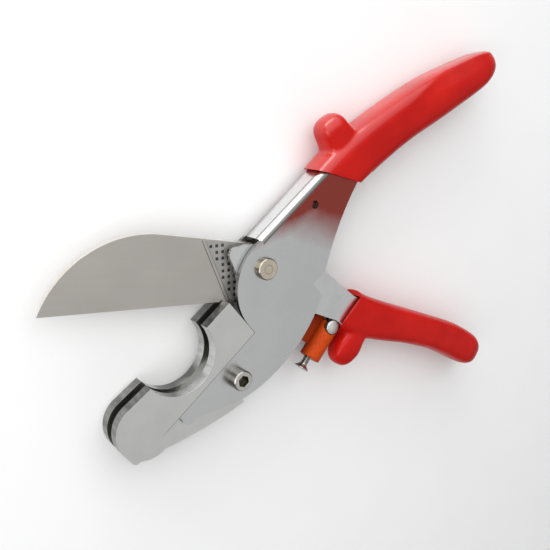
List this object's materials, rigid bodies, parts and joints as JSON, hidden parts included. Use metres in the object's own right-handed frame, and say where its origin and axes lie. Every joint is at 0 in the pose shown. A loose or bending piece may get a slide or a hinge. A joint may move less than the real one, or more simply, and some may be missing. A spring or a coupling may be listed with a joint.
{
  "type": "hand pipe cutter",
  "caption": "Hand-held scissor pipe cutter: pressed steel channel body, slotted half-round jaw, curved pivoting blade, dipped red grips and a sliding latch.",
  "frame": {"origin": "centre of the half-round pipe seat, in the cutting plane half way through the jaw", "axes": "+Z along the pipe's axis, out of the face with the socket screw's head; +X from the jaw towards the handles; the tool lies on its side with -Z down"},
  "size_m": [0.2654, 0.1843, 0.0262],
  "materials": {
    "plated_steel": "bright zinc plating, slightly soft, fine scratches",
    "jaw_steel": "plated machined steel, satin faces and polished edges",
    "blade_steel": "fine brushed stainless steel",
    "rivet_nickel": "warm nickel plate",
    "screw_steel": "zinc plate",
    "dark_steel": "oiled plain steel",
    "dipped_vinyl": "glossy dipped vinyl",
    "orange_plastic": "semi-matt moulded plastic"
  },
  "bodies": {
    "frame_body": {"body_channel": "plated_steel", "upper_grip": "dipped_vinyl", "jaw": "jaw_steel", "jaw_bolt": "screw_steel", "jaw_washer": "screw_steel", "jaw_nut": "screw_steel", "pivot_rivet": "rivet_nickel", "pivot_washer": "screw_steel", "pivot_bush": "dark_steel", "spring_anchor": "dark_steel", "opening_spring": "dark_steel"},
    "lever_arm": {"blade": "blade_steel", "blade_spacers": "dark_steel", "blade_rivets": "dark_steel", "lever_channel": "plated_steel", "spring_post": "dark_steel", "lower_grip": "dipped_vinyl", "latch_screw": "screw_steel", "latch_nut": "screw_steel"},
    "latch": {"latch_slider": "orange_plastic"}
  },
  "joints": [
    {"name": "lever_swing", "type": "hinge", "parent": "frame_body", "child": "lever_arm", "pos_m": [0.04594, 0.03463, 0], "axis": [0, 0, 1], "range_deg": [0, 43.5], "stiffness_Nm_per_rad": 0.8, "springref_deg": -22.92, "deforming": ["opening_spring"]},
    {"name": "latch_slide", "type": "slide", "parent": "lever_arm", "child": "latch", "axis": [-0.6293, -0.7771, 0], "range_m": [0, 0.004]}
  ]
}
